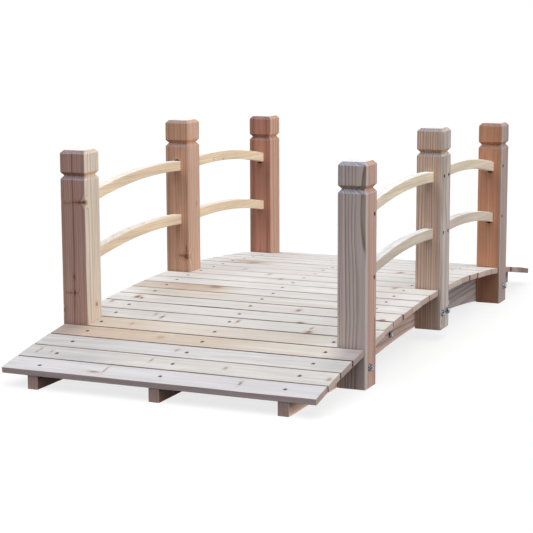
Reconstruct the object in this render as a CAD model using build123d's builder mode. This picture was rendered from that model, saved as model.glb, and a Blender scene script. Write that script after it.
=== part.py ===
"""Arched timber garden bridge with a post and rail fence on both sides.

The origin lies on the ground under the middle of the bridge.  X runs along the walkway
from the near end (-X) to the far end (+X), Y runs across it and Z points up.
"""

import os
from math import asin, atan2, cos, degrees, sin, sqrt

from build123d import *

# Overall sizes in millimetres
bridge_length = 1520.0
bridge_width = 680.0

# Deck, an arc of planks
deck_crown_height = 117.0
deck_end_height = 40.0
plank_thickness = 12.5
plank_gap = 4.2
plank_edge_ease = 0.8
plank_end_inset = 4.0
short_plank_clearance = 0.3
bay_plank_count = 7
end_plank_count = 4

# Posts
post_side = 60.0
post_height = 449.0
post_spacing_share = 0.318
mid_post_lift = 26.0
post_edge_ease = 1.5
post_chamfer = 7.0
groove_centre_drop = 53.5
groove_half_height = 7.75
groove_depth = 6.5

# Rails, each one its own bow
rail_height = 23.0
rail_thickness = 20.0
rail_bow = 13.5
rail_edge_ease = 1.2
upper_rail_drop = 95.0
lower_rail_drop = 221.0

# Tenons on the rails and mortises in the posts
tenon_cheek_inset = 3.0
tenon_edge_inset = 0.5
mortise_web = 8.0
mortise_play = 0.2
mortise_end_room = 2.0

# Stringers, the three arched beams under the deck
stringer_thickness = 23.0
stringer_end_inset = 3.0
arch_crown_height = 29.5

# Splice plates across the middle joint of the stringers
splice_half_length = 230.0
splice_thickness = 18.0
splice_edge_inset = 8.0

# Arcs about one centre far below the deck
deck_rise = deck_crown_height - deck_end_height
deck_radius = (deck_rise ** 2 + (bridge_length / 2) ** 2) / (deck_rise * 2)
arc_centre_z = deck_crown_height - deck_radius
plank_middle_radius = deck_radius - plank_thickness / 2
stringer_radius = deck_radius - plank_thickness
arch_radius = arch_crown_height - arc_centre_z
arch_foot_x = sqrt(arch_radius ** 2 - arc_centre_z ** 2)


def arc_height(radius, x):
    """Height above the ground of an arc about the deck's centre."""
    return arc_centre_z + sqrt(radius ** 2 - x ** 2)


# Places of the posts
post_spacing = bridge_length * post_spacing_share
post_outer_y = bridge_width / 2
post_inner_y = post_outer_y - post_side
post_centre_y = post_outer_y - post_side / 2

os.makedirs("parts", exist_ok=True)

# Deck planks: full ones fill the bays and the ends, short ones fit between a pair of posts
post_angle = asin(post_spacing / plank_middle_radius)
half_post_angle = asin(post_side / 2 / plank_middle_radius)
end_angle = asin(bridge_length / 2 / deck_radius)
bay_arc = (post_angle - half_post_angle * 2) * plank_middle_radius
end_arc = (end_angle - post_angle - half_post_angle) * plank_middle_radius
bay_plank_width = (bay_arc - plank_gap * (bay_plank_count + 1)) / bay_plank_count
end_plank_width = end_arc / end_plank_count - plank_gap

bay_step_angle = (bay_plank_width + plank_gap) / plank_middle_radius
end_step_angle = (end_plank_width + plank_gap) / plank_middle_radius
first_bay_angle = half_post_angle + (plank_gap + bay_plank_width / 2) / plank_middle_radius
first_end_angle = post_angle + half_post_angle + (plank_gap + end_plank_width / 2) / plank_middle_radius

full_plank_length = bridge_width - plank_end_inset * 2
short_plank_length = post_inner_y * 2 - short_plank_clearance * 2

half_deck = []
for step in range(bay_plank_count):
    half_deck.append((first_bay_angle + bay_step_angle * step, bay_plank_width, full_plank_length))
half_deck.append((post_angle, post_side, short_plank_length))
for step in range(end_plank_count):
    half_deck.append((first_end_angle + end_step_angle * step, end_plank_width, full_plank_length))
near_deck = [(-angle, width, length) for angle, width, length in reversed(half_deck)]
deck = near_deck + [(0, post_side, short_plank_length)] + half_deck

for number, (angle, width, length) in enumerate(deck, start=1):
    plank_x = plank_middle_radius * sin(angle)
    plank_z = arc_centre_z + plank_middle_radius * cos(angle)
    plank_plane = Plane(
        origin=(plank_x, length / 2, plank_z),
        x_dir=(cos(angle), 0, -sin(angle)),
        z_dir=(0, -1, 0),
    )
    with BuildPart() as plank:
        with BuildSketch(plank_plane) as plank_section:
            Rectangle(width, plank_thickness)
            chamfer(plank_section.vertices(), length=plank_edge_ease)
        extrude(amount=length)
    plank_name = f"deck_plank_{number:02d}"
    plank.part.label = plank_name
    export_step(plank.part, f"parts/{plank_name}.step")

# Posts: a square shaft, a V groove under the cap, chamfered top edges and mortises for the rails
groove_taper = degrees(atan2(groove_depth, groove_half_height))
chamfer_taper = degrees(atan2(post_chamfer, post_chamfer))
groove_foot_height = post_height - groove_centre_drop - groove_half_height
groove_head_height = post_height - groove_centre_drop + groove_half_height
cap_shoulder_height = post_height - post_chamfer

tenon_height = rail_height - tenon_edge_inset * 2
tenon_thickness = rail_thickness - tenon_cheek_inset * 2
tenon_length = (post_side - mortise_web) / 2
mortise_height = tenon_height + mortise_end_room * 2
mortise_width = tenon_thickness + mortise_play * 2

post_places = {
    "near": (-post_spacing, 0, (1,)),
    "mid": (0, mid_post_lift, (-1, 1)),
    "far": (post_spacing, 0, (-1,)),
}

for place, (post_x, post_foot_z, mortise_sides) in post_places.items():
    for side_name, side in (("left", 1), ("right", -1)):
        post_base = Plane(origin=(post_x, post_centre_y * side, post_foot_z))
        with BuildPart() as post:
            with BuildSketch(post_base):
                Rectangle(post_side, post_side)
            extrude(amount=groove_foot_height)
            with BuildSketch(post_base.offset(groove_foot_height)):
                Rectangle(post_side, post_side)
            extrude(amount=groove_half_height, taper=groove_taper)
            with BuildSketch(post_base.offset(groove_head_height)):
                Rectangle(post_side, post_side)
            extrude(amount=-groove_half_height, taper=groove_taper)
            with BuildSketch(post_base.offset(groove_head_height)):
                Rectangle(post_side, post_side)
            extrude(amount=cap_shoulder_height - groove_head_height)
            with BuildSketch(post_base.offset(cap_shoulder_height)):
                Rectangle(post_side, post_side)
            extrude(amount=post_chamfer, taper=chamfer_taper)
            chamfer(post.edges().filter_by(Axis.Z), length=post_edge_ease)
            for facing in mortise_sides:
                for drop in (upper_rail_drop, lower_rail_drop):
                    mortise_plane = Plane(
                        origin=(
                            post_x + facing * post_side / 2,
                            post_centre_y * side,
                            post_foot_z + post_height - drop - rail_height / 2,
                        ),
                        x_dir=(0, 0, 1),
                        z_dir=(facing, 0, 0),
                    )
                    with BuildSketch(mortise_plane):
                        SlotOverall(mortise_height, mortise_width)
                    extrude(amount=-tenon_length, mode=Mode.SUBTRACT)
        post_name = f"post_{place}_{side_name}"
        post.part.label = post_name
        export_step(post.part, f"parts/{post_name}.step")

# Rails: bowed bars between the posts' faces, with a round edged tenon at each end
rail_outer_x = post_spacing - post_side / 2
rail_inner_x = post_side / 2

for bay, along in (("near", -1), ("far", 1)):
    outer_x = along * rail_outer_x
    inner_x = along * rail_inner_x
    bow_x = (outer_x + inner_x) / 2
    for level, drop in (("upper", upper_rail_drop), ("lower", lower_rail_drop)):
        outer_top_z = post_height - drop
        inner_top_z = outer_top_z + mid_post_lift
        bow_top_z = (outer_top_z + inner_top_z) / 2 + rail_bow
        outer_foot_z = outer_top_z - rail_height
        inner_foot_z = inner_top_z - rail_height
        bow_foot_z = bow_top_z - rail_height
        for side_name, side in (("left", 1), ("right", -1)):
            rail_y = post_centre_y * side
            rail_plane = Plane(origin=(0, rail_y + rail_thickness / 2, 0), x_dir=(1, 0, 0), z_dir=(0, -1, 0))
            with BuildPart() as rail:
                with BuildSketch(rail_plane):
                    with BuildLine():
                        ThreePointArc((outer_x, outer_top_z), (bow_x, bow_top_z), (inner_x, inner_top_z))
                        Line((inner_x, inner_top_z), (inner_x, inner_foot_z))
                        ThreePointArc((inner_x, inner_foot_z), (bow_x, bow_foot_z), (outer_x, outer_foot_z))
                        Line((outer_x, outer_foot_z), (outer_x, outer_top_z))
                    make_face()
                extrude(amount=rail_thickness)
                chamfer(rail.edges().filter_by(GeomType.CIRCLE), length=rail_edge_ease)
                for end_x, end_top_z, outward in (
                    (outer_x, outer_top_z, along),
                    (inner_x, inner_top_z, -along),
                ):
                    tenon_plane = Plane(
                        origin=(end_x, rail_y, end_top_z - rail_height / 2),
                        x_dir=(0, 0, 1),
                        z_dir=(outward, 0, 0),
                    )
                    with BuildSketch(tenon_plane):
                        SlotOverall(tenon_height, tenon_thickness)
                    extrude(amount=tenon_length)
            rail_name = f"rail_{level}_{bay}_{side_name}"
            rail.part.label = rail_name
            export_step(rail.part, f"parts/{rail_name}.step")

# Stringers: arched beams in two halves that butt under the middle of the deck
stringer_end_x = bridge_length / 2 - stringer_end_inset
stringer_lines = {
    "left": post_inner_y,
    "centre": stringer_thickness / 2,
    "right": stringer_thickness - post_inner_y,
}

for half, along in (("near", -1), ("far", 1)):
    end_x = along * stringer_end_x
    foot_x = along * arch_foot_x
    end_top_z = arc_height(stringer_radius, end_x)
    quarter_top_z = arc_height(stringer_radius, end_x / 2)
    quarter_arch_z = arc_height(arch_radius, foot_x / 2)
    middle_top_z = arc_height(stringer_radius, 0)
    for line_name, face_y in stringer_lines.items():
        stringer_plane = Plane(origin=(0, face_y, 0), x_dir=(1, 0, 0), z_dir=(0, -1, 0))
        with BuildPart() as stringer:
            with BuildSketch(stringer_plane):
                with BuildLine():
                    ThreePointArc((end_x, end_top_z), (end_x / 2, quarter_top_z), (0, middle_top_z))
                    Line((0, middle_top_z), (0, arch_crown_height))
                    ThreePointArc((0, arch_crown_height), (foot_x / 2, quarter_arch_z), (foot_x, 0))
                    Line((foot_x, 0), (end_x, 0))
                    Line((end_x, 0), (end_x, end_top_z))
                make_face()
            extrude(amount=stringer_thickness)
        stringer_name = f"stringer_{half}_{line_name}"
        stringer.part.label = stringer_name
        export_step(stringer.part, f"parts/{stringer_name}.step")

# Splice plates: curved boards bolted to the stringers across the middle joint
splice_lines = {
    "left": post_inner_y - stringer_thickness,
    "centre": stringer_thickness / 2 + splice_thickness,
    "right": splice_thickness + stringer_thickness - post_inner_y,
}
splice_top_radius = stringer_radius - splice_edge_inset
splice_foot_radius = arch_radius + splice_edge_inset
splice_end_top_z = arc_height(splice_top_radius, splice_half_length)
splice_end_foot_z = arc_height(splice_foot_radius, splice_half_length)
splice_middle_top_z = arc_height(splice_top_radius, 0)
splice_middle_foot_z = arc_height(splice_foot_radius, 0)
splice_ends = (-splice_half_length, splice_half_length)

for line_name, face_y in splice_lines.items():
    splice_plane = Plane(origin=(0, face_y, 0), x_dir=(1, 0, 0), z_dir=(0, -1, 0))
    with BuildPart() as splice:
        with BuildSketch(splice_plane):
            with BuildLine():
                for middle_z, end_z in (
                    (splice_middle_top_z, splice_end_top_z),
                    (splice_middle_foot_z, splice_end_foot_z),
                ):
                    ThreePointArc((-splice_half_length, end_z), (0, middle_z), (splice_half_length, end_z))
                for end_x in splice_ends:
                    Line((end_x, splice_end_top_z), (end_x, splice_end_foot_z))
            make_face()
        extrude(amount=splice_thickness)
    splice_name = f"splice_{line_name}"
    splice.part.label = splice_name
    export_step(splice.part, f"parts/{splice_name}.step")
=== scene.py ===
import math
import random

import bmesh
import bpy
import numpy as np
from mathutils import Matrix, Vector


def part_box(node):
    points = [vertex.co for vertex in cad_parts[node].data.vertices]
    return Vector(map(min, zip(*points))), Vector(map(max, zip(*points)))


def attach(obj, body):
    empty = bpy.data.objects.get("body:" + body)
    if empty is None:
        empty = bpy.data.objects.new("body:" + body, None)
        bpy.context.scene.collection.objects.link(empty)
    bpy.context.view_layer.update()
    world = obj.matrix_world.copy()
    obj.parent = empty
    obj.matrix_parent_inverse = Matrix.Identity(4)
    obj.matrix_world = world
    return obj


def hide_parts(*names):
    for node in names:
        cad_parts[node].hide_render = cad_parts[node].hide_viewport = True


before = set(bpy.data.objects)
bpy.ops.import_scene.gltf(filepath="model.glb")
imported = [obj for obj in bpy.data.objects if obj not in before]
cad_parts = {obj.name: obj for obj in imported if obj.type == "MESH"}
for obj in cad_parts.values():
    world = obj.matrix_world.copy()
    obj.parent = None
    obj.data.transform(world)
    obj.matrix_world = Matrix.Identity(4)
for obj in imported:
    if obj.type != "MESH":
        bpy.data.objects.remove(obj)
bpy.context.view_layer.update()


# Stringers: three arched beams of rough sawn fir under the deck, each in two halves that butt at the crown.
# The arch is band-sawn from a straight board, so the growth rings run out along its curved edges.
# They stand on the ground at both ends and carry every plank.

fibre_stretch, streak_stretch, patch_stretch = (620.0, 620.0, 15.0), (130.0, 130.0, 2.4), (17.0, 17.0, 5.0)
ragged_stretch, wave_stretch, wave_reach = (240.0, 240.0, 240.0), (12.0, 12.0, 3.2), (0.013, 0.013, 0.0)
# the last tone lightens arrises, partly real wear and partly a painted highlight
pith_tone, knot_halo_tone, rubbed_and_highlight_tone = (0.20, 0.075, 0.055), (0.80, 0.60, 0.46), (0.86, 0.78, 0.68)
# how dark the wood grows through a year: springwood first, then the share of the year and the darkness
springwood, summerwood_steps = 0.06, ((0.45, 0.12), (0.8, 0.62), (0.93, 1.0))


def put(tree, kind, feed=(), **options):
    """Adds a node to a tree, sets its options and feeds its inputs with values or other nodes' outputs."""
    node = tree.nodes.new(kind)
    for option, value in options.items():
        setattr(node, option, value)
    for key, value in dict(feed).items():
        if isinstance(value, bpy.types.NodeSocket):
            tree.links.new(value, node.inputs[key])
        else:
            node.inputs[key].default_value = value
    return node


def sum_of(tree, operation, *values):
    """One step of arithmetic between node outputs and plain numbers."""
    return put(tree, "ShaderNodeMath", enumerate(values), operation=operation).outputs[0]


def step_of(tree, operation, *values):
    """One step of vector arithmetic; a length comes out as a number."""
    node = put(tree, "ShaderNodeVectorMath", enumerate(values), operation=operation)
    return node.outputs["Value" if operation in ("LENGTH", "DOT_PRODUCT") else "Vector"]


def fade(tree, value, start, end, low=0.0, high=1.0):
    """A soft ramp from low to high as the value goes from start to end."""
    feed = {"Value": value, "From Min": start, "From Max": end, "To Min": low, "To Max": high}
    return put(tree, "ShaderNodeMapRange", feed, interpolation_type="SMOOTHSTEP").outputs[0]


def stain(tree, amount, under, over, way="MIX"):
    """Lays one colour over another."""
    node = put(tree, "ShaderNodeMix", {0: amount, 6: under, 7: over}, data_type="RGBA", blend_type=way)
    return node.outputs[2]


def tinted(tree, tone, tint):
    """A tone darkened by a plain colour."""
    return stain(tree, 1.0, tone, (*tint, 1.0), "MULTIPLY")


def cloud(tree, place, stretch, detail=2.0):
    """Soft noise, stretched by so many bumps a metre along each axis."""
    stretched = step_of(tree, "MULTIPLY", place, stretch)
    return put(tree, "ShaderNodeTexNoise", {"Vector": stretched, "Scale": 1.0, "Detail": detail}).outputs[0]


def stored(tree, name, kind="Vector"):
    """What the mesh stores under a name."""
    return put(tree, "ShaderNodeAttribute", attribute_name=name).outputs[kind]


def bare_finish(name):
    """A new material with an empty node tree."""
    finish = bpy.data.materials.new(name)
    finish.use_nodes = True
    finish.node_tree.nodes.clear()
    return finish, finish.node_tree


def timber(name, along, side_tone, end_tone, line_tone, shade_and_dirt_tone, sawn, end_share=0.4, painted_bounce_tone=(1.0, 1.0, 1.0),
           knots=(), knot_tone=(0.16, 0.08, 0.055), streaks=1.0, painted_sky_tint=None):
    """Planed softwood: rings and heartwood about the pith, fibre, knots, end grain, arris wear with a painted
    highlight, a painted warm bounce under, a painted sky tint on chamfers, and marked faces darkened by grime
    and painted shade.
    """
    finish, tree = bare_finish(name)
    grain, sapwood, heartwood = [stored(tree, layer) for layer in ("grain", "sapwood", "heartwood")]
    arris, shade_and_dirt = [stored(tree, layer, "Fac") for layer in ("arris", "shade_and_dirt")]
    rings = put(tree, "ShaderNodeSeparateXYZ", {0: stored(tree, "rings")}).outputs
    ring_width, ring_strength, heart_size = rings
    facing = put(tree, "ShaderNodeNewGeometry").outputs["Normal"]
    place = put(tree, "ShaderNodeTexCoord").outputs["Object"]

    fibre = cloud(tree, grain, fibre_stretch, 3.0)
    streak = cloud(tree, grain, streak_stretch, 3.0)
    patch = cloud(tree, grain, patch_stretch)
    ragged = sum_of(tree, "SUBTRACT", cloud(tree, place, ragged_stretch), 0.5)
    ragged = sum_of(tree, "MULTIPLY", ragged, 1.1)

    knot_pull, knot_core, knot_halo = 0.0, 0.0, 0.0
    for centre, reaches, depth in knots:
        reach = step_of(tree, "DIVIDE", step_of(tree, "SUBTRACT", place, centre), reaches)
        reach = step_of(tree, "LENGTH", reach)
        pull = fade(tree, reach, 0.4, 3.2, min(reaches) * 0.7, 0.0)
        knot_pull = sum_of(tree, "ADD", knot_pull, pull)
        reach = sum_of(tree, "ADD", reach, ragged)
        knot_core = sum_of(tree, "MAXIMUM", knot_core, fade(tree, reach, 0.3, 1.05, depth, 0.0))
        knot_halo = sum_of(tree, "MAXIMUM", knot_halo, fade(tree, reach, 0.5, 2.2, depth, 0.0))

    wave = step_of(tree, "MULTIPLY", grain, wave_stretch)
    wave = put(tree, "ShaderNodeTexNoise", {"Vector": wave, "Scale": 1.0, "Detail": 2.0}).outputs["Color"]
    wave = step_of(tree, "MULTIPLY", step_of(tree, "SUBTRACT", wave, (0.5, 0.5, 0.5)), wave_reach)
    from_pith = step_of(tree, "MULTIPLY", step_of(tree, "ADD", grain, wave), (1.0, 1.0, 0.0))
    from_pith = step_of(tree, "LENGTH", from_pith)
    pith = fade(tree, from_pith, 0.0008, 0.0036, 1.0, 0.0)
    from_pith = sum_of(tree, "ADD", from_pith, knot_pull)
    years = sum_of(tree, "DIVIDE", from_pith, ring_width)
    good_years = put(tree, "ShaderNodeTexNoise", {"W": years, "Scale": 0.45, "Detail": 1.0},
                     noise_dimensions="1D").outputs[0]
    years = sum_of(tree, "ADD", years, sum_of(tree, "MULTIPLY", good_years, 1.3))
    season = sum_of(tree, "FRACT", years)
    ramp = put(tree, "ShaderNodeValToRGB", {0: season})
    stops = ramp.color_ramp.elements
    for stop in stops:
        stop.color = (springwood, springwood, springwood, 1.0)
    for share, level in summerwood_steps:
        stops.new(share).color = (level, level, level, 1.0)
    summerwood = sum_of(tree, "MULTIPLY", ramp.outputs[0], fade(tree, patch, 0.25, 0.6, 0.6, 1.0))

    into_sap = sum_of(tree, "SUBTRACT", from_pith, heart_size)
    heart = fade(tree, into_sap, -0.003, 0.002, 1.0, 0.0)
    tone = stain(tree, heart, sapwood, heartwood)
    rim = sum_of(tree, "ABSOLUTE", sum_of(tree, "ADD", into_sap, 0.004))
    rim = sum_of(tree, "MULTIPLY", fade(tree, rim, 0.0, 0.004, 0.35, 0.0), heart)
    lined = sum_of(tree, "MAXIMUM", sum_of(tree, "MULTIPLY", summerwood, ring_strength), rim)
    tone = stain(tree, lined, tone, tinted(tree, tone, line_tone))
    shade = fade(tree, streak, 0.25, 0.75, -0.1, 0.07)
    shade = sum_of(tree, "ADD", shade, fade(tree, fibre, 0.3, 0.7, -0.06, 0.05))
    shade = sum_of(tree, "ADD", shade, fade(tree, patch, 0.3, 0.7, -0.06, 0.05))
    shade = sum_of(tree, "ADD", sum_of(tree, "MULTIPLY", shade, streaks), 1.0)
    shade = put(tree, "ShaderNodeCombineXYZ", {0: shade, 1: shade, 2: shade}).outputs[0]
    tone = stain(tree, 1.0, tone, shade, "MULTIPLY")
    tone = stain(tree, sum_of(tree, "MULTIPLY", pith, 0.6), tone, (*pith_tone, 1.0))

    if knots:
        halo = tinted(tree, tone, knot_halo_tone)
        tone = stain(tree, sum_of(tree, "MULTIPLY", knot_halo, 0.6), tone, halo)
        tone = stain(tree, knot_core, tone, (*knot_tone, 1.0))

    lengthways, _, upward = put(tree, "ShaderNodeSeparateXYZ", {0: facing}).outputs
    beside = fade(tree, upward, 0.45, 0.85, 1.0, 0.0)
    tone = stain(tree, beside, tone, tinted(tree, tone, side_tone))
    # painted light: faces turned downwards take a warm tint that stands in for light bounced up onto them
    downward = fade(tree, upward, -0.6, -0.2, 1.0, 0.0)
    tone = stain(tree, downward, tone, tinted(tree, tone, painted_bounce_tone))
    tilt = step_of(tree, "DOT_PRODUCT", facing, along)
    # painted reflection: chamfers that face along the bridge take a cool tint that stands in for the sky they
    # reflect
    if painted_sky_tint:
        chamfer = fade(tree, sum_of(tree, "ABSOLUTE", lengthways), 0.35, 0.65)
        chamfer = sum_of(tree, "MULTIPLY", chamfer, fade(tree, tilt, 0.5, 0.68))
        tone = stain(tree, chamfer, tone, tinted(tree, tone, painted_sky_tint))
    endwise = fade(tree, sum_of(tree, "ABSOLUTE", tilt), 0.8, 0.95)
    ring_end_tone = tuple(part * 0.72 for part in end_tone)
    end_rings = stain(tree, sum_of(tree, "MULTIPLY", season, 0.45), (*end_tone, 1.0), (*ring_end_tone, 1.0))
    end_rings = stain(tree, end_share, end_rings, stain(tree, 1.0, tone, end_rings, "MULTIPLY"))
    tone = stain(tree, endwise, tone, end_rings)
    # arrises are lightened, partly real wear and partly a painted highlight
    eased_and_highlit = stain(tree, 0.35, tone, (*rubbed_and_highlight_tone, 1.0))
    tone = stain(tree, sum_of(tree, "MULTIPLY", arris, 0.6), tone, eased_and_highlit)
    # marked faces are darkened, partly by grime and partly as painted shade
    tone = stain(tree, shade_and_dirt, tone, tinted(tree, tone, shade_and_dirt_tone))

    rough = fade(tree, streak, 0.25, 0.75, 0.72, 0.52)
    height = sum_of(tree, "ADD", sum_of(tree, "MULTIPLY", summerwood, 0.5), fibre)
    bump = put(tree, "ShaderNodeBump", {"Strength": sawn, "Distance": 0.0005, "Height": height}).outputs[0]
    shader = put(tree, "ShaderNodeBsdfPrincipled",
                 {"Base Color": tone, "Roughness": rough, "Normal": bump, "Specular IOR Level": 0.15})
    put(tree, "ShaderNodeOutputMaterial", {0: shader.outputs[0]})
    return finish


weld_distance = 1e-6
flat_angle, sharp_angle, crease_angle = math.radians(0.3), math.radians(25), math.radians(6)


def eased_copy(node, arris):
    """A CAD node's shape as one closed mesh, with its sharp arrises eased by a bevel."""
    shape = bmesh.new()
    shape.from_mesh(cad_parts[node].data)
    bmesh.ops.remove_doubles(shape, verts=shape.verts, dist=weld_distance)
    bmesh.ops.dissolve_limit(shape, angle_limit=flat_angle, verts=shape.verts, edges=shape.edges)
    wear_and_highlight = shape.faces.layers.float.new("arris")
    sharp = [edge for edge in shape.edges if edge.is_manifold and edge.calc_face_angle() > sharp_angle]
    eased_and_highlit = bmesh.ops.bevel(shape, geom=sharp, offset=arris, offset_type="OFFSET", segments=2, profile=0.5,
                             affect="EDGES", clamp_overlap=True)
    for face in eased_and_highlit["faces"]:
        face[wear_and_highlight] = 1.0
    mesh = bpy.data.meshes.new(node)
    shape.to_mesh(mesh)
    shape.free()
    mesh.shade_smooth()
    mesh.set_sharp_from_angle(angle=crease_angle)
    return mesh


def lay_grain(mesh, along, pith, start, lean, sapwood, heartwood, rings):
    """Stores how a piece was cut from its log: the place from the pith, the wood colours and the rings."""
    place = np.empty(len(mesh.vertices) * 3, np.float32)
    mesh.vertices.foreach_get("co", place)
    place = place.reshape(-1, 3)
    way = "XYZ".index(along)
    length = place[:, way] - place[:, way].mean()
    across = place[:, (way + 1) % 3] - pith[0] + lean[0] * length
    through = place[:, (way + 2) % 3] - pith[1] + lean[1] * length
    grain = np.stack([across, through, length + start], axis=1)
    for name, values in (("grain", grain), ("sapwood", sapwood), ("heartwood", heartwood), ("rings", rings)):
        layer = mesh.attributes.new(name, "FLOAT_VECTOR", "POINT")
        spread = np.broadcast_to(np.asarray(values, np.float32), grain.shape)
        layer.data.foreach_set("vector", np.ascontiguousarray(spread, np.float32).ravel())


def mark_faces(mesh, name, amounts):
    """Stores a value for each face, for arris wear with a painted highlight, and for grime with painted
    shade.
    """
    mesh.attributes.new(name, "FLOAT", "FACE").data.foreach_set("value", amounts)


def fit_piece(name, mesh, finish, nodes=()):
    """Puts a finished mesh in the scene as a piece that stands for its CAD nodes."""
    piece = bpy.data.objects.new(name, mesh)
    bpy.context.scene.collection.objects.link(piece)
    if finish is not None:
        mesh.materials.clear()
        mesh.materials.append(finish)
    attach(piece, "root")
    if nodes:
        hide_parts(*nodes)
    return piece


stringer_arris = 0.0007
stringer_pith_height, stringer_lean, stringer_rings = 0.006, (0.01, 0.016), (0.0075, 0.85, 0.045)
# painted shadow: a band along the top, under the planks, is darkened as their shade, and follows the deck's
# arc
stringer_shadow_band, stringer_top_shade, deck_arc_diameter = 0.006, 0.22, 7.58
# the wood turns warmer over this length towards the near end
warm_run, warm_start_share = 0.36, 1.1
near_fir, warm_fir, far_fir = (0.88, 0.64, 0.54), (1.0, 0.68, 0.51), (0.55, 0.465, 0.45)
red_heart = (0.70, 0.43, 0.33)
# centre, reach along each axis, depth of colour
stringer_knots = (
    ((-0.335, -0.280, 0.048), (0.010, 0.006, 0.006), 0.7),
    ((0.120, -0.280, 0.070), (0.008, 0.005, 0.005), 0.6),
)
stringer_timber = timber("rough sawn fir", (1.0, 0.0, 0.0), side_tone=(1.0, 1.0, 1.0),
                         end_tone=(0.62, 0.46, 0.44), line_tone=(0.42, 0.34, 0.31), shade_and_dirt_tone=(0.36, 0.33, 0.35),
                         sawn=0.45, streaks=1.7, knots=stringer_knots)
# line, pith beside the board's middle, start along the log, sides under the deck that are darkened as painted
# shade
stringer_lines = (("left", 0.06, 0.4, (-1,)), ("centre", -0.05, 1.3, (-1, 1)), ("right", 0.05, 2.2, (1,)))
for half, tone, start in (("near", near_fir, 3.1), ("far", far_fir, 5.7)):
    for line, side_pith, shift, inward in stringer_lines:
        node = f"stringer_{half}_{line}"
        low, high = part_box(node)
        board = eased_copy(node, stringer_arris)
        corners = np.array([corner.co for corner in board.vertices])
        to_end = np.clip(-corners[:, :1] / warm_run - warm_start_share, 0.0, 1.0)
        colours = np.array(tone) + (np.array(warm_fir) - np.array(tone)) * to_end
        painted_shadow_line = high.z - stringer_shadow_band - corners[:, :1] ** 2 / deck_arc_diameter
        painted_shadow_top = np.where(corners[:, 2:] > painted_shadow_line, stringer_top_shade, 1.0)
        pith = ((low.y + high.y) / 2 + side_pith, stringer_pith_height)
        # painted shadow: the colours laid as sapwood and heartwood carry the darker band under the planks
        lay_grain(board, "X", pith, start + shift, stringer_lean, colours * painted_shadow_top,
                  np.array(red_heart) * painted_shadow_top, stringer_rings)
        # painted shade: the sides under the deck are marked to be darkened
        mark_faces(board, "shade_and_dirt", [float(round(face.normal.y) in inward) for face in board.polygons])
        fit_piece(f"fir_{node}", board, stringer_timber, [node])


# Splice plates: curved boards bolted to the inner face of each stringer across the butt joint at the crown.
# Sawn from the same fir as the stringers, so they share its finish.

splice_arris = 0.0007
splice_pith_height, splice_lean, splice_rings = 0.03, (0.003, 0.01), (0.005, 0.5, 0.03)
for line, side_pith, start in (("left", 0.07, 8.2), ("centre", -0.06, 9.6), ("right", 0.06, 11.1)):
    node = f"splice_{line}"
    low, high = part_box(node)
    board = eased_copy(node, splice_arris)
    pith = ((low.y + high.y) / 2 + side_pith, splice_pith_height)
    lay_grain(board, "X", pith, start, splice_lean, far_fir, red_heart, splice_rings)
    fit_piece(f"fir_{node}", board, stringer_timber, [node])


# Posts: six square planed posts with a V groove under a chamfered cap, and mortises for the rails.
# Each one comes from its own part of the log, so ring width, heartwood and colour differ from post to post.
# One screw is sunk from the outer face into each rail end, so the posts are drilled there.

post_arris = 0.0006
screw_hole_radius, screw_hole_depth = 0.0044, 0.008
mortise_slip_radius, mortise_slip_depth = 0.0072, 0.026
mid_screw_shift, end_screw_shift = 0.0165, 0.017
rail_screw_shifts = {"near": (end_screw_shift,), "mid": (-mid_screw_shift, mid_screw_shift),
                     "far": (-end_screw_shift,)}
rail_screw_levels = (0.3440, 0.2185)
mid_post_lift = 0.026


def drilled(mesh, places, aim, radius, depth):
    """The mesh with blind round holes drilled into the face that the aim points out of."""
    bits = bmesh.new()
    turn = Vector(aim).to_track_quat("Z", "Y").to_matrix().to_4x4()
    for place in places:
        bmesh.ops.create_cone(bits, cap_ends=True, segments=20, radius1=radius, radius2=radius,
                              depth=depth * 2, matrix=Matrix.Translation(place) @ turn)
    bit_mesh = bpy.data.meshes.new("drill bits")
    bits.to_mesh(bit_mesh)
    bits.free()
    # painted shade: the faces inside the holes are marked to be darkened
    for part, shade_and_dirt_share in ((mesh, 0.0), (bit_mesh, 1.0)):
        if "shade_and_dirt" not in part.attributes:
            mark_faces(part, "shade_and_dirt", [shade_and_dirt_share] * len(part.polygons))
    blank = bpy.data.objects.new("blank", mesh)
    drill = bpy.data.objects.new("drill", bit_mesh)
    for thing in (blank, drill):
        bpy.context.scene.collection.objects.link(thing)
    cut = blank.modifiers.new("drill", "BOOLEAN")
    cut.operation, cut.solver, cut.object = "DIFFERENCE", "EXACT", drill
    made = bpy.data.meshes.new_from_object(blank.evaluated_get(bpy.context.evaluated_depsgraph_get()))
    for thing in (blank, drill):
        bpy.data.objects.remove(thing)
    return made


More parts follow.
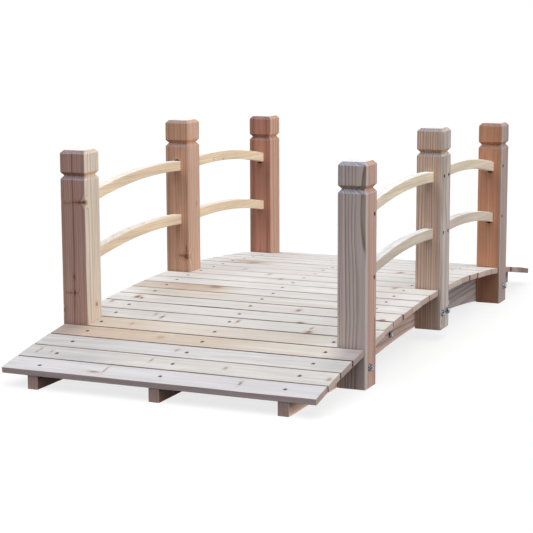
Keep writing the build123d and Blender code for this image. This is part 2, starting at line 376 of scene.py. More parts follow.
# centre, reach along each axis, depth of colour
post_knots = (
    ((-0.513, 0.282, 0.3415), (0.006, 0.010, 0.0060), 0.95),
    ((-0.513, 0.292, 0.3410), (0.006, 0.014, 0.0042), 0.85),
    ((-0.513, 0.305, 0.3405), (0.006, 0.014, 0.0030), 0.55),
    ((-0.513, 0.322, 0.3385), (0.006, 0.012, 0.0028), 0.35),
    ((-0.513, 0.311, 0.183), (0.004, 0.0028, 0.007), 0.75),
    ((-0.513, 0.310, 0.149), (0.004, 0.005, 0.005), 0.85),
    ((-0.513, 0.322, 0.148), (0.004, 0.012, 0.0028), 0.45),
    ((-0.513, 0.338, 0.111), (0.005, 0.005, 0.006), 0.60),
    ((-0.475, 0.280, 0.120), (0.006, 0.004, 0.006), 0.60),
    ((-0.030, 0.289, 0.154), (0.008, 0.009, 0.009), 0.90),
    ((-0.030, 0.288, 0.170), (0.006, 0.003, 0.014), 0.70),
    ((-0.030, 0.301, 0.155), (0.006, 0.009, 0.005), 0.60),
    ((0.011, 0.280, 0.275), (0.004, 0.004, 0.006), 0.40),
    ((-0.020, -0.340, 0.043), (0.005, 0.004, 0.006), 0.55),
    ((0.513, 0.310, 0.180), (0.004, 0.006, 0.008), 0.70),
    ((0.030, -0.305, 0.210), (0.004, 0.006, 0.008), 0.70),
)
post_timber = timber("planed post fir", (0.0, 0.0, 1.0), side_tone=(1.0, 1.0, 1.0),
                     end_tone=(0.99, 0.98, 0.97), line_tone=(0.42, 0.32, 0.27), shade_and_dirt_tone=(0.35, 0.28, 0.24),
                     sawn=0.3, end_share=0.05, painted_bounce_tone=(1.0, 0.80, 0.62), knots=post_knots,
                     knot_tone=(0.16, 0.06, 0.04), painted_sky_tint=(0.66, 0.84, 1.08))
# place, side: pith from the post's middle, start along the log, lean, sapwood, heartwood, rings
post_cuts = {
    ("near", "left"): ((-0.0297, 0.000), 1.3, (0.002, 0.004), (0.825, 0.705, 0.585), (0.575, 0.365, 0.31),
                       (0.0053, 0.60, 0.029)),
    ("near", "right"): ((0.020, -0.026), 4.9, (0.006, 0.002), (0.69, 0.59, 0.555), (0.68, 0.45, 0.37),
                        (0.0043, 1.0, 0.0402)),
    ("mid", "left"): ((-0.040, 0.012), 7.7, (0.004, 0.004), (0.715, 0.465, 0.35), (0.69, 0.405, 0.28),
                      (0.0060, 0.52, 0.041)),
    ("mid", "right"): ((-0.012, 0.072), 10.4, (0.004, 0.006), (0.69, 0.605, 0.545), (0.72, 0.53, 0.42),
                       (0.0054, 0.85, 0.0985)),
    ("far", "left"): ((-0.045, 0.000), 13.6, (0.003, 0.003), (0.64, 0.393, 0.293), (0.545, 0.262, 0.189),
                      (0.011, 0.7, 0.0325)),
    ("far", "right"): ((-0.045, 0.012), 16.2, (0.004, 0.004), (0.465, 0.35, 0.317), (0.62, 0.31, 0.19),
                       (0.007, 0.30, 0.0435)),
}
# post: places on its near face where the mortise was cut past the rail's end, across and up
mortise_slips = {("mid", "left"): ((0.310, 0.3768),), ("far", "left"): ((0.310, 0.3342),),
                 ("far", "right"): ((-0.310, 0.3342), (-0.310, 0.2082))}
rail_screw_places = []
for (place, side), (pith, start, lean, sapwood, heartwood, rings) in post_cuts.items():
    node = f"post_{place}_{side}"
    low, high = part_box(node)
    middle = (low + high) / 2
    outward = Vector((0.0, 1.0 if side == "left" else -1.0, 0.0))
    outer_y = high.y if side == "left" else low.y
    lift = mid_post_lift if place == "mid" else 0.0
    holes = [Vector((middle.x + shift, outer_y, level + lift))
             for level in rail_screw_levels for shift in rail_screw_shifts[place]]
    rail_screw_places += [(hole, outward) for hole in holes]
    shaft = drilled(eased_copy(node, post_arris), holes, outward, screw_hole_radius, screw_hole_depth)
    slips = [Vector((low.x, across, height)) for across, height in mortise_slips.get((place, side), ())]
    if slips:
        shaft = drilled(shaft, slips, (-1.0, 0.0, 0.0), mortise_slip_radius, mortise_slip_depth)
    pith = (middle.x + pith[0], middle.y + pith[1])
    lay_grain(shaft, "Z", pith, start, lean, sapwood, heartwood, rings)
    fit_piece(f"fir_{node}", shaft, post_timber, [node])


# Bolts: zinc plated hexagon bolts with washers through the posts and stringers, and the splice plates.
# A nut on a washer, with the bolt's threaded end standing out of it, closes each one on the inner side.

bolt_head_width, bolt_head_height = 0.0118, 0.0058
# a hexagon's width over its corner radius, the straight part of its height, the turned down part, its top
hexagon_share, block_share, crown_share, crown_scale = 1.732, 0.72, 0.28, 0.82
washer_radius, washer_thickness, washer_corners = 0.0084, 0.0014, 28
thread_radius, thread_length, thread_corners = 0.0034, 0.0085, 14
bolt_seed, nut_seed = 3, 5


def tree_sizes(tree, made, **sizes):
    """Gives a node tree its geometry input, its named size inputs and its output."""
    tree.interface.new_socket("Places", in_out="INPUT", socket_type="NodeSocketGeometry")
    for name, value in sizes.items():
        kind = "NodeSocketInt" if isinstance(value, int) else "NodeSocketFloat"
        tree.interface.new_socket(name, in_out="INPUT", socket_type=kind).default_value = value
    tree.interface.new_socket(made, in_out="OUTPUT", socket_type="NodeSocketGeometry")
    return put(tree, "NodeGroupInput").outputs


def aimed_on(tree, places, thing, seed):
    """Stands a copy of a thing on each place, along the place's aim and turned at random about it."""
    aim = put(tree, "GeometryNodeInputNamedAttribute", {"Name": "aim"}, data_type="FLOAT_VECTOR").outputs[0]
    turned = put(tree, "FunctionNodeAlignRotationToVector", {"Vector": aim}, axis="Z").outputs[0]
    angle = put(tree, "FunctionNodeRandomValue", {3: math.tau, "Seed": seed}, data_type="FLOAT").outputs[1]
    spin = put(tree, "FunctionNodeAxisAngleToRotation", {"Axis": (0.0, 0.0, 1.0), "Angle": angle}).outputs[0]
    turned = put(tree, "FunctionNodeRotateRotation", {0: turned, 1: spin}, rotation_space="LOCAL").outputs[0]
    stood = put(tree, "GeometryNodeInstanceOnPoints",
                {"Points": places, "Instance": thing, "Rotation": turned})
    return stood.outputs[0]


def close_tree(tree, geometry, finish):
    """Ends a node tree with real geometry in its finish."""
    real = put(tree, "GeometryNodeRealizeInstances", {0: geometry}).outputs[0]
    done = put(tree, "GeometryNodeSetMaterial", {"Geometry": real, "Material": finish}).outputs[0]
    put(tree, "NodeGroupOutput", {0: done})


def lifted(tree, geometry, height):
    """Moves geometry up its own axis."""
    move = put(tree, "ShaderNodeCombineXYZ", {2: height}).outputs[0]
    return put(tree, "GeometryNodeTransform", {"Geometry": geometry, "Translation": move}).outputs[0]


def join(tree, *parts):
    """Several parts as one geometry."""
    node = put(tree, "GeometryNodeJoinGeometry")
    for part in parts:
        tree.links.new(part, node.inputs[0])
    return node.outputs[0]


def run_tree(tree, start, **sizes):
    """Runs a node tree on a start mesh and gives back the plain mesh that it makes."""
    holder = bpy.data.objects.new("holder", start)
    bpy.context.scene.collection.objects.link(holder)
    maker = holder.modifiers.new("maker", "NODES")
    maker.node_group = tree
    for socket in tree.interface.items_tree:
        if socket.in_out == "INPUT" and socket.name in sizes:
            maker[socket.identifier] = sizes[socket.name]
    made = bpy.data.meshes.new_from_object(holder.evaluated_get(bpy.context.evaluated_depsgraph_get()))
    bpy.data.objects.remove(holder)
    return made


def marked_places(places):
    """A mesh of loose points, each with the direction that its fastener aims in."""
    marks = bpy.data.meshes.new("places")
    marks.from_pydata([tuple(place) for place, aim in places], [], [])
    layer = marks.attributes.new("aim", "FLOAT_VECTOR", "POINT")
    layer.data.foreach_set("vector", [part for place, aim in places for part in aim])
    return marks


def metal(name, bright, dull, shine):
    """Plated or browned steel with cloudy dull patches and fine wear."""
    finish, tree = bare_finish(name)
    place = put(tree, "ShaderNodeTexCoord").outputs["Object"]
    patch = cloud(tree, place, (420.0, 420.0, 420.0), 3.0)
    speck = cloud(tree, place, (2600.0, 2600.0, 2600.0))
    tone = stain(tree, fade(tree, patch, 0.38, 0.56), (*bright, 1.0), (*dull, 1.0))
    rough = fade(tree, patch, 0.3, 0.7, shine, shine + 0.16)
    rough = sum_of(tree, "ADD", rough, fade(tree, speck, 0.4, 0.7, 0.0, 0.1))
    bump = put(tree, "ShaderNodeBump", {"Strength": 0.2, "Distance": 0.0002, "Height": speck}).outputs[0]
    shader = put(tree, "ShaderNodeBsdfPrincipled",
                 {"Base Color": tone, "Roughness": rough, "Normal": bump, "Metallic": 1.0})
    put(tree, "ShaderNodeOutputMaterial", {0: shader.outputs[0]})
    return finish


def hexagon(tree, width, height):
    """A hexagon standing on its base, with its upper edge turned down."""
    radius = sum_of(tree, "DIVIDE", width, hexagon_share)
    block_height = sum_of(tree, "MULTIPLY", height, block_share)
    block = put(tree, "GeometryNodeMeshCylinder", {"Vertices": 6, "Radius": radius, "Depth": block_height})
    crown = put(tree, "GeometryNodeExtrudeMesh",
                {"Mesh": block.outputs["Mesh"], "Selection": block.outputs["Top"],
                 "Offset Scale": sum_of(tree, "MULTIPLY", height, crown_share)})
    turned_down = put(tree, "GeometryNodeScaleElements",
                      {"Geometry": crown.outputs["Mesh"], "Selection": crown.outputs["Top"],
                       "Scale": crown_scale})
    return lifted(tree, turned_down.outputs[0], sum_of(tree, "MULTIPLY", height, block_share / 2))


def disc(tree, radius, thickness, corners):
    """A flat round plate standing on its base."""
    plate = put(tree, "GeometryNodeMeshCylinder", {"Vertices": corners, "Radius": radius, "Depth": thickness})
    return lifted(tree, plate.outputs[0], sum_of(tree, "MULTIPLY", thickness, 0.5))


zinc_bright, zinc_dull, zinc_shine = (0.66, 0.70, 0.78), (0.035, 0.04, 0.06), 0.2
zinc = metal("zinc plate", zinc_bright, zinc_dull, zinc_shine)
bolt_tree = bpy.data.node_groups.new("hexagon bolt and washer", "GeometryNodeTree")
places, head_width, head_height, ring_radius, ring_thickness, seed, _ = tree_sizes(
    bolt_tree, "Bolts", **{"Head width": bolt_head_width, "Head height": bolt_head_height,
                           "Washer radius": washer_radius, "Washer thickness": washer_thickness,
                           "Seed": bolt_seed})
bolt = join(bolt_tree, disc(bolt_tree, ring_radius, ring_thickness, washer_corners),
            lifted(bolt_tree, hexagon(bolt_tree, head_width, head_height), ring_thickness))
close_tree(bolt_tree, aimed_on(bolt_tree, places, bolt, seed), zinc)

nut_tree = bpy.data.node_groups.new("nut, washer and thread end", "GeometryNodeTree")
places, nut_width, nut_height, ring_radius, ring_thickness, end_radius, end_length, seed, _ = tree_sizes(
    nut_tree, "Nuts", **{"Nut width": bolt_head_width, "Nut height": bolt_head_height,
                         "Washer radius": washer_radius, "Washer thickness": washer_thickness,
                         "Thread radius": thread_radius, "Thread length": thread_length, "Seed": nut_seed})
nut = join(nut_tree, disc(nut_tree, ring_radius, ring_thickness, washer_corners),
           lifted(nut_tree, hexagon(nut_tree, nut_width, nut_height), ring_thickness),
           lifted(nut_tree, disc(nut_tree, end_radius, end_length, thread_corners), ring_thickness))
close_tree(nut_tree, aimed_on(nut_tree, places, nut, seed), zinc)

# places along the bridge and up
post_bolts = ((-0.490, 0.0415), (0.492, 0.0385), (-0.0195, 0.064), (0.0150, 0.064))
splice_bolts = ((-0.200, 0.0455), (0.200, 0.0455), (-0.075, 0.083), (0.075, 0.083))
post_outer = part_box("post_near_left")[1].y
stringer_inner, stringer_outer = [corner.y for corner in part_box("stringer_near_left")]
splice_inner, splice_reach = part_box("splice_left")[0].y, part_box("splice_left")[1].x
head_places, nut_places = [], []
for side in (1.0, -1.0):
    outward = Vector((0.0, side, 0.0))
    for x, z in post_bolts:
        head_places.append((Vector((x, side * post_outer, z)), outward))
        nut_seat = splice_inner if abs(x) < splice_reach else stringer_inner
        nut_places.append((Vector((x, side * nut_seat, z)), -outward))
    for x, z in splice_bolts:
        head_places.append((Vector((x, side * stringer_outer, z)), outward))
        nut_places.append((Vector((x, side * splice_inner, z)), -outward))
centre_low, centre_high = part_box("stringer_near_centre")[0].y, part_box("splice_centre")[1].y
for x, z in splice_bolts:
    head_places.append((Vector((x, centre_low, z)), Vector((0.0, -1.0, 0.0))))
    nut_places.append((Vector((x, centre_high, z)), Vector((0.0, 1.0, 0.0))))
fit_piece("bolts", run_tree(bolt_tree, marked_places(head_places), Seed=bolt_seed), None)
fit_piece("nuts", run_tree(nut_tree, marked_places(nut_places), Seed=nut_seed), None)


# Rails: eight pale bars, each with its own low bow and round edged tenons in the posts' mortises.
# Planed fir with little heartwood, the lightest timber on the bridge.

rail_arris = 0.0006
rail_lean, rail_ring_strength, side_facing = (0.01, 0.02), 0.5, 0.6
rail_fir, warm_rail_fir, rail_honey = (0.98, 1.0, 1.0), (1.0, 0.95, 0.90), (0.88, 0.80, 0.68)
# centre, reach along each axis, depth of colour
rail_knots = (
    ((0.205, 0.300, 0.362), (0.004, 0.004, 0.003), 0.35),
    ((0.150, 0.300, 0.366), (0.003, 0.004, 0.005), 0.30),
)
rail_timber = timber("pale rail fir", (1.0, 0.0, 0.0), side_tone=(0.90, 0.76, 0.58),
                     end_tone=(0.70, 0.58, 0.44), line_tone=(0.80, 0.70, 0.58), shade_and_dirt_tone=(0.82, 0.83, 0.90),
                     sawn=0.25, streaks=1.15, knots=rail_knots)
luck = random.Random(41)
for bay in ("near", "far"):
    for level in ("upper", "lower"):
        for side in ("left", "right"):
            node = f"rail_{level}_{bay}_{side}"
            low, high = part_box(node)
            bar = eased_copy(node, rail_arris)
            pith = ((low.y + high.y) / 2 + luck.uniform(-0.03, 0.03), low.z - luck.uniform(0.03, 0.09))
            start = luck.uniform(0, 20)
            sapwood = warm_rail_fir if side == "left" else rail_fir
            rings = (luck.uniform(0.004, 0.006), rail_ring_strength, luck.uniform(0.02, 0.05))
            lay_grain(bar, "X", pith, start, rail_lean, sapwood, rail_honey, rings)
            greyed = float((level, side) == ("lower", "right"))
            mark_faces(bar, "shade_and_dirt",
                       [greyed * float(abs(face.normal.y) > side_facing) for face in bar.polygons])
            fit_piece(f"fir_{node}", bar, rail_timber, [node])


# Rail screws: browned steel screws with a cross recess, at the bottom of the holes in the posts' outer faces.
# One at each rail end.

rail_head_radius, rail_head_thickness, rail_screw_seed = 0.0040, 0.0012, 11
rail_recess_length, rail_recess_width, rail_recess_depth = 0.0030, 0.0008, 0.0008
head_corners = 16
browned_steel = metal("browned steel", (0.17, 0.14, 0.12), (0.09, 0.07, 0.06), 0.4)


def screw_maker(name, finish, **sizes):
    """A tree that stands a flat screw head with a cross recess on each place."""
    tree = bpy.data.node_groups.new(name, "GeometryNodeTree")
    places, radius, thickness, slot_length, slot_width, slot_depth, seed, _ = tree_sizes(
        tree, "Screws", **sizes)
    head = disc(tree, radius, thickness, head_corners)
    slot_height = sum_of(tree, "MULTIPLY", slot_depth, 2.0)
    cross = []
    for along, across in ((slot_length, slot_width), (slot_width, slot_length)):
        size = put(tree, "ShaderNodeCombineXYZ", {0: along, 1: across, 2: slot_height}).outputs[0]
        cross.append(lifted(tree, put(tree, "GeometryNodeMeshCube", {"Size": size}).outputs[0], thickness))
    cut = put(tree, "GeometryNodeMeshBoolean", {"Mesh 1": head}, operation="DIFFERENCE", solver="EXACT")
    for bar in cross:
        tree.links.new(bar, cut.inputs["Mesh 2"])
    close_tree(tree, aimed_on(tree, places, cut.outputs[0], seed), finish)
    return tree


rail_screw_tree = screw_maker("rail screws", browned_steel, **{
    "Head radius": rail_head_radius, "Head thickness": rail_head_thickness,
    "Recess length": rail_recess_length, "Recess width": rail_recess_width,
    "Recess depth": rail_recess_depth, "Seed": rail_screw_seed})
sunk = [(place - aim * screw_hole_depth, aim) for place, aim in rail_screw_places]
fit_piece("rail_screws", run_tree(rail_screw_tree, marked_places(sunk), Seed=rail_screw_seed), None)


# Deck planks: twenty-five thin fir slats across the stringers, three of them cut short between the posts.
# Planed, bleached pale on top and browner along the sawn edges and ends.
# Each is countersunk over the stringers.

plank_ease, plank_wander, plank_shift, plank_slide = 0.0006, 0.0007, 0.0022, 0.0005
plank_count, short_plank_limit, end_facing = 25, 0.6, 0.7
ease_steps, plank_steps, board_stride, drift_stretch = 3, 29, 7.31, (9.0, 6.0, 0.0)
dry_swell, damp_swell = 0.0004, 0.0016
swollen_planks, darker_gap_planks = (2, 3, 12, 13, 14, 15), (4, 8, 16)
closed_gap_dirt_and_shade, gap_dirt_and_shade, open_gap_dirt_and_shade = 0.55, 0.8, 1.0
sink_radius, sink_depth, sink_corners = 0.0047, 0.0020, 18
sink_top_share, sink_bottom_share = 1.25, 0.8
screw_lines = (-0.264, 0.0, 0.264)
screw_stray_along, screw_stray_across = 0.004, 0.003
crown_low, crown_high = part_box("deck_plank_13")
end_low, end_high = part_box("deck_plank_01")
plank_thickness = crown_high.z - crown_low.z
deck_middle_height = (crown_low.z + crown_high.z) / 2
deck_drop = deck_middle_height - (end_low.z + end_high.z) / 2
deck_middle_radius = (((end_low.x + end_high.x) / 2) ** 2 + deck_drop ** 2) / (deck_drop * 2)

# centre, reach along each axis, depth of colour
deck_knots = (
    ((-0.726, 0.121, 0.047), (0.024, 0.0030, 0.006), 0.50),
    ((-0.741, 0.140, 0.044), (0.005, 0.016, 0.004), 0.60),
    ((-0.728, -0.168, 0.047), (0.013, 0.004, 0.004), 0.65),
    ((-0.660, 0.306, 0.059), (0.008, 0.003, 0.004), 0.60),
    ((-0.673, 0.308, 0.057), (0.007, 0.003, 0.004), 0.60),
    ((-0.668, 0.277, 0.058), (0.008, 0.003, 0.004), 0.50),
    ((-0.664, 0.053, 0.059), (0.014, 0.0028, 0.004), 0.60),
    ((-0.668, -0.110, 0.058), (0.009, 0.006, 0.004), 0.45),
    ((-0.672, -0.326, 0.057), (0.012, 0.005, 0.004), 0.50),
    ((-0.604, 0.026, 0.069), (0.012, 0.004, 0.004), 0.40),
    ((-0.545, 0.093, 0.078), (0.012, 0.012, 0.004), 0.30),
    ((-0.483, 0.192, 0.086), (0.012, 0.004, 0.004), 0.40),
    ((-0.411, 0.173, 0.095), (0.011, 0.004, 0.004), 0.55),
    ((-0.425, 0.150, 0.093), (0.013, 0.004, 0.004), 0.85),
    ((-0.413, -0.020, 0.094), (0.011, 0.005, 0.004), 0.70),
    ((-0.420, -0.188, 0.094), (0.013, 0.004, 0.004), 0.50),
    ((-0.441, -0.191, 0.091), (0.009, 0.008, 0.004), 0.90),
    ((-0.388, -0.151, 0.097), (0.006, 0.010, 0.004), 0.90),
    ((-0.304, -0.112, 0.105), (0.013, 0.007, 0.004), 0.75),
    ((-0.298, 0.277, 0.105), (0.014, 0.009, 0.004), 0.90),
    ((-0.346, 0.315, 0.101), (0.011, 0.006, 0.004), 0.50),
    ((-0.328, -0.308, 0.103), (0.011, 0.010, 0.004), 0.75),
    ((-0.164, 0.148, 0.113), (0.016, 0.018, 0.004), 0.55),
    ((-0.036, 0.043, 0.117), (0.012, 0.008, 0.004), 0.50),
    ((0.014, 0.093, 0.117), (0.014, 0.006, 0.004), 0.45),
    ((-0.045, -0.237, 0.117), (0.014, 0.007, 0.004), 0.50),
    ((0.060, 0.178, 0.116), (0.014, 0.006, 0.004), 0.45),
    ((0.176, 0.205, 0.113), (0.016, 0.022, 0.004), 0.50),
    ((0.172, -0.177, 0.113), (0.016, 0.010, 0.004), 0.70),
)
deck_timber = timber("bleached deck fir", (0.0, 1.0, 0.0), side_tone=(0.98, 0.80, 0.735),
                     end_tone=(0.60, 0.48, 0.42), line_tone=(0.74, 0.62, 0.54), shade_and_dirt_tone=(0.27, 0.20, 0.17),
                     sawn=0.35, end_share=0.45, knots=deck_knots, knot_tone=(0.18, 0.105, 0.08), streaks=0.8)

plank_tree = bpy.data.node_groups.new("deck plank", "GeometryNodeTree")
places, length, width, thickness, ease, wander, sink, depth, seed, _ = tree_sizes(
    plank_tree, "Plank", **{"Length": end_high.y - end_low.y, "Width": end_high.x - end_low.x,
                            "Thickness": plank_thickness, "Edge ease": plank_ease, "Wander": plank_wander,
                            "Sink radius": sink_radius, "Sink depth": sink_depth, "Seed": 1})
section = put(plank_tree, "GeometryNodeCurvePrimitiveQuadrilateral", {"Width": width, "Height": thickness})
section = put(plank_tree, "GeometryNodeFilletCurve",
              {"Curve": section.outputs[0], "Count": ease_steps, "Radius": ease}, mode="POLY").outputs[0]
half_length = sum_of(plank_tree, "MULTIPLY", length, 0.5)
other_half = sum_of(plank_tree, "MULTIPLY", half_length, -1.0)
run_from = put(plank_tree, "ShaderNodeCombineXYZ", {1: other_half}).outputs[0]
run_to = put(plank_tree, "ShaderNodeCombineXYZ", {1: half_length}).outputs[0]
run = put(plank_tree, "GeometryNodeCurvePrimitiveLine", {"Start": run_from, "End": run_to}).outputs[0]
run = put(plank_tree, "GeometryNodeResampleCurve", {"Curve": run, "Count": plank_steps}).outputs[0]
run = put(plank_tree, "GeometryNodeSetCurveNormal", {"Curve": run}, mode="Z_UP").outputs[0]
slat = put(plank_tree, "GeometryNodeCurveToMesh",
           {"Curve": run, "Profile Curve": section, "Fill Caps": True}).outputs[0]
spot = put(plank_tree, "GeometryNodeInputPosition").outputs[0]
other_board = sum_of(plank_tree, "MULTIPLY", seed, board_stride)
other_board = put(plank_tree, "ShaderNodeCombineXYZ", {0: other_board})
drift = step_of(plank_tree, "MULTIPLY", spot, drift_stretch)
drift = step_of(plank_tree, "ADD", drift, other_board.outputs[0])
drift = put(plank_tree, "ShaderNodeTexNoise", {"Vector": drift, "Scale": 1.0, "Detail": 2.0}).outputs["Color"]
drift = step_of(plank_tree, "SUBTRACT", drift, (0.5, 0.5, 0.5))
above = put(plank_tree, "ShaderNodeSeparateXYZ", {0: spot}).outputs[2]
above = sum_of(plank_tree, "GREATER_THAN", above, 0.0)
rise = sum_of(plank_tree, "MULTIPLY", above, 2.0)
reach = put(plank_tree, "ShaderNodeCombineXYZ", {0: 2.0, 1: 0.0, 2: rise}).outputs[0]
drift = step_of(plank_tree, "MULTIPLY", drift, reach)
drift = put(plank_tree, "ShaderNodeVectorMath", {0: drift, "Scale": wander}, operation="SCALE")
slat = put(plank_tree, "GeometryNodeSetPosition",
           {"Geometry": slat, "Offset": drift.outputs["Vector"]}).outputs[0]
sinker = put(plank_tree, "GeometryNodeMeshCone",
             {"Vertices": sink_corners, "Radius Top": sum_of(plank_tree, "MULTIPLY", sink, sink_top_share),
              "Radius Bottom": sum_of(plank_tree, "MULTIPLY", sink, sink_bottom_share),
              "Depth": sum_of(plank_tree, "MULTIPLY", depth, 2.0)}).outputs[0]
sinker = lifted(plank_tree, sinker, sum_of(plank_tree, "MULTIPLY", depth, -1.0))
sinkers = put(plank_tree, "GeometryNodeInstanceOnPoints", {"Points": places, "Instance": sinker}).outputs[0]
sinkers = put(plank_tree, "GeometryNodeRealizeInstances", {0: sinkers}).outputs[0]
sunk_slat = put(plank_tree, "GeometryNodeMeshBoolean", {"Mesh 1": slat, "Mesh 2": sinkers},
                operation="DIFFERENCE", solver="EXACT").outputs[0]
close_tree(plank_tree, sunk_slat, deck_timber)

cool_white, oat, ash = (0.70, 0.695, 0.725), (0.69, 0.675, 0.655), (0.69, 0.68, 0.69)
white, pale, bright = (0.79, 0.78, 0.775), (0.72, 0.705, 0.69), (0.90, 0.885, 0.87)
stone, painted_post_shade, painted_post_shade_warm = (0.60, 0.59, 0.595), (0.45, 0.41, 0.42), (0.40, 0.33, 0.30)
cream, wheat, honey = (0.715, 0.665, 0.61), (0.68, 0.59, 0.50), (0.61, 0.50, 0.41)
plank_tones = {1: cool_white, 2: oat, 3: ash, 4: cream, 5: cream,
               6: pale, 7: pale, 8: pale, 9: pale, 10: pale}
# plank: middle of each warmer or greyer stretch along it, its half length, its colour
plank_blush = {
    2: ((0.28, 0.14, stone),),
    3: ((0.28, 0.15, stone), (-0.32, 0.03, stone)),
    # painted shade: plank 4's ends beside the posts are darkened
    4: ((0.06, 0.14, wheat), (0.22, 0.11, honey), (0.325, 0.04, painted_post_shade_warm), (-0.325, 0.035, painted_post_shade)),
    5: ((0.24, 0.10, wheat), (-0.28, 0.05, bright)),
    9: ((0.18, 0.10, cream),),
    10: ((0.30, 0.06, wheat), (0.185, 0.07, honey)),
    16: ((0.215, 0.05, wheat),),
}
# between the posts the ends are painted lighter, to lift the shade that the rails and posts cast on them
planks_between_posts = range(6, 21)
painted_lift_by_rails = ((0.32, 0.08, bright), (-0.32, 0.07, bright))
bleached_ends = (2, 6, 7, 10, 14, 15, 18)
# plank: how much its end faces are darkened
darker_ends = {22: 0.2, 23: 0.25, 24: 0.55, 25: 0.65}
quarter_sawn_share = 0.35
straight_up = Vector((0.0, 0.0, 1.0))
luck = random.Random(12)
deck_screw_places = []
for number in range(1, plank_count + 1):
    node = f"deck_plank_{number:02d}"
    low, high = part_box(node)
    middle = (low + high) / 2
    angle = math.asin(middle.x / deck_middle_radius)
    slat_width = ((high.x - low.x) - plank_thickness * abs(math.sin(angle))) / math.cos(angle)
    slat_width += damp_swell if number in swollen_planks else dry_swell
    slat_length = high.y - low.y
    screws = []
    for line in screw_lines:
        stray_along = luck.uniform(-screw_stray_along, screw_stray_along)
        stray_across = luck.uniform(-screw_stray_across, screw_stray_across)
        screws.append(Vector((stray_along, line + stray_across, plank_thickness / 2)))
    plank = run_tree(plank_tree, marked_places([(screw, straight_up) for screw in screws]),
                     Length=slat_length, Width=slat_width, Seed=number)
    if luck.random() < quarter_sawn_share:
        pith = (luck.uniform(-0.02, 0.02), luck.choice((-1, 1)) * luck.uniform(0.05, 0.09))
    else:
        pith = (-luck.uniform(0.035, 0.07), luck.uniform(-0.03, 0.03))
    colours = np.tile(plank_tones.get(number, white), (len(plank.vertices), 1))
    along = np.array([corner.co.y for corner in plank.vertices])
    painted_lift = painted_lift_by_rails if number in planks_between_posts else ()
    for centre, half, blush in painted_lift + plank_blush.get(number, ()):
        amount = np.clip(1.5 - np.abs(along - centre) / half, 0.0, 1.0)[:, None]
        colours += (np.array(blush) - colours) * amount
    start = luck.uniform(0.0, 40.0)
    lean = (luck.uniform(-0.03, 0.03), luck.uniform(-0.02, 0.02))
    rings = (luck.uniform(0.0045, 0.0075), luck.uniform(0.2, 0.4), 0.0)
    lay_grain(plank, "Y", pith, start, lean, colours, honey, rings)
    bleach = luck.uniform(1.0, 1.6) if number in bleached_ends else luck.uniform(0.0, 0.2)
    at_end = [float(abs(face.normal.y) > end_facing) for face in plank.polygons]
    mark_faces(plank, "arris", [bleach * end for end in at_end])
    # the walls of the gaps between planks are darkened, partly real grime and partly painted shade
    shade_and_dirt_share = open_gap_dirt_and_shade if number in darker_gap_planks else gap_dirt_and_shade
    if number in swollen_planks:
        shade_and_dirt_share = closed_gap_dirt_and_shade
    end_darkening = darker_ends.get(number, 0.0)
    open_way = {1: -1.0, plank_count: 1.0}.get(number, 0.0)
    shade_and_dirt_shares = []
    for face, end in zip(plank.polygons, at_end):
        in_gap = abs(face.normal.x) > side_facing and face.normal.x * open_way <= 0.0
        shade_and_dirt_shares.append(shade_and_dirt_share * float(in_gap) + end_darkening * end)
    mark_faces(plank, "shade_and_dirt", shade_and_dirt_shares)
    plank.shade_flat()
    sideways, lengthways = 0.0, 0.0
    if slat_length > short_plank_limit:
        sideways = luck.uniform(-plank_shift, plank_shift)
        lengthways = luck.uniform(-plank_slide, plank_slide)
    height = deck_middle_height - deck_middle_radius * (1.0 - math.cos(angle))
    setting = Matrix.Translation((middle.x + lengthways, sideways, height)) @ Matrix.Rotation(angle, 4, "Y")
    plank.transform(setting)
    deck_screw_places += [(setting @ screw, setting.to_3x3() @ straight_up) for screw in screws]
    fit_piece(f"fir_{node}", plank, None, [node])


# Deck screws: one browned steel screw through each plank into each stringer, seventy-five in all.
# The flat heads with a cross recess are driven a little below the wood.

deck_head_radius, deck_head_thickness, deck_screw_seed = 0.0039, 0.0010, 17
deck_recess_length, deck_recess_width, deck_recess_depth = 0.0042, 0.0010, 0.0007
deck_screw_tree = screw_maker("deck screws", browned_steel, **{
    "Head radius": deck_head_radius, "Head thickness": deck_head_thickness,
    "Recess length": deck_recess_length, "Recess width": deck_recess_width,
    "Recess depth": deck_recess_depth, "Seed": deck_screw_seed})
driven = [(place - aim * sink_depth, aim) for place, aim in deck_screw_places]
fit_piece("deck_screws", run_tree(deck_screw_tree, marked_places(driven), Seed=deck_screw_seed), None)


# Studio: a plain floor, white where the camera looks straight at it, that keeps the bridge's soft shadow.
# A broad lamp overhead, a low one beside the right railing, a weak one behind, and an even pale surround.

floor_reach, floor_glow, surround_strength = 30.0, 0.78, 0.07
floor_bounce, floor_seen = (0.075, 0.085, 0.115, 1.0), (0.25, 0.25, 0.25, 1.0)
plain_white = (1.0, 1.0, 1.0, 1.0)


def seen_rays(tree):
    """One for rays that show the backdrop: straight from the camera, or by way of metal or glass."""
    path = put(tree, "ShaderNodeLightPath").outputs
    mirrored = sum_of(tree, "MAXIMUM", path["Is Glossy Ray"], path["Is Transmission Ray"])
    return sum_of(tree, "MAXIMUM", path["Is Camera Ray"], mirrored)


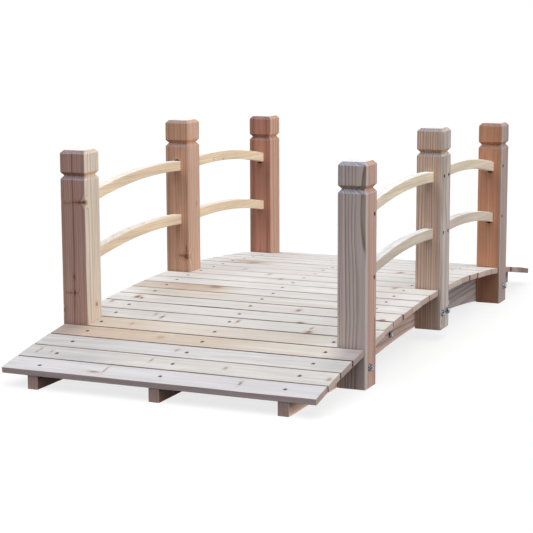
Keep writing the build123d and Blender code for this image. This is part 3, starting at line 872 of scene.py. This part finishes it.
floor_mesh = bpy.data.meshes.new("studio_floor")
floor_mesh.from_pydata([(-floor_reach, -floor_reach, 0), (floor_reach, -floor_reach, 0),
                        (floor_reach, floor_reach, 0), (-floor_reach, floor_reach, 0)], [], [(0, 1, 2, 3)])
floor = bpy.data.objects.new("studio_floor", floor_mesh)
bpy.context.scene.collection.objects.link(floor)
floor_finish, tree = bare_finish("pale floor")
plain = put(tree, "ShaderNodeBsdfDiffuse", {0: floor_bounce}).outputs[0]
shadowed = put(tree, "ShaderNodeBsdfDiffuse", {0: floor_seen}).outputs[0]
glow = put(tree, "ShaderNodeEmission", {"Color": plain_white, "Strength": floor_glow}).outputs[0]
looked_at = put(tree, "ShaderNodeAddShader", {0: shadowed, 1: glow}).outputs[0]
surface = put(tree, "ShaderNodeMixShader", {0: seen_rays(tree), 1: plain, 2: looked_at}).outputs[0]
put(tree, "ShaderNodeOutputMaterial", {0: surface})
floor_mesh.materials.append(floor_finish)

world = bpy.data.worlds.new("pale surround")
bpy.context.scene.world = world
world.use_nodes = True
tree = world.node_tree
tree.nodes.clear()
backdrop = put(tree, "ShaderNodeBackground", {0: plain_white, 1: 1.0}).outputs[0]
surround = put(tree, "ShaderNodeBackground", {0: plain_white, 1: surround_strength}).outputs[0]
surface = put(tree, "ShaderNodeMixShader", {0: seen_rays(tree), 1: surround, 2: backdrop}).outputs[0]
put(tree, "ShaderNodeOutputWorld", {0: surface})

# lamp: direction towards it, strength, spread in degrees
lamps = {
    "top lamp": (Vector((-0.28, -0.03, 0.96)), 2.7, 80.0),
    "side lamp": (Vector((-0.06, -0.985, 0.16)), 1.9, 40.0),
    "back lamp": (Vector((0.57, 0.80, 0.18)), 0.55, 60.0),
}
lamp_distance = 3.0
for name, (to_lamp, energy, spread) in lamps.items():
    lamp = bpy.data.lights.new(name, "SUN")
    lamp.energy = energy
    lamp.angle = math.radians(spread)
    lamp_stand = bpy.data.objects.new(name, lamp)
    bpy.context.scene.collection.objects.link(lamp_stand)
    lamp_stand.location = to_lamp * lamp_distance
    lamp_stand.rotation_mode = "QUATERNION"
    lamp_stand.rotation_quaternion = (-to_lamp).to_track_quat("-Z", "Y")

camera_place = Vector((-3.44643, -1.41079, 0.78059))
camera_yaw, camera_pitch, camera_roll = (math.radians(angle) for angle in (23.598, -9.701, -0.222))
sensor_width, lens_length = 36.0, 110.27
level_reach = math.cos(camera_pitch)
looking = Vector((level_reach * math.cos(camera_yaw), level_reach * math.sin(camera_yaw),
                  math.sin(camera_pitch)))
level_right = looking.cross(straight_up).normalized()
level_up = level_right.cross(looking)
right = math.cos(camera_roll) * level_right + math.sin(camera_roll) * level_up
up = math.cos(camera_roll) * level_up - math.sin(camera_roll) * level_right
eye = bpy.data.cameras.new("photo camera")
eye.sensor_width, eye.lens = sensor_width, lens_length
camera = bpy.data.objects.new("photo camera", eye)
bpy.context.scene.collection.objects.link(camera)
turned = Matrix((right, up, -looking)).transposed().to_4x4()
camera.matrix_world = Matrix.Translation(camera_place) @ turned
bpy.context.scene.camera = camera
bpy.context.scene.view_settings.view_transform = "Standard"
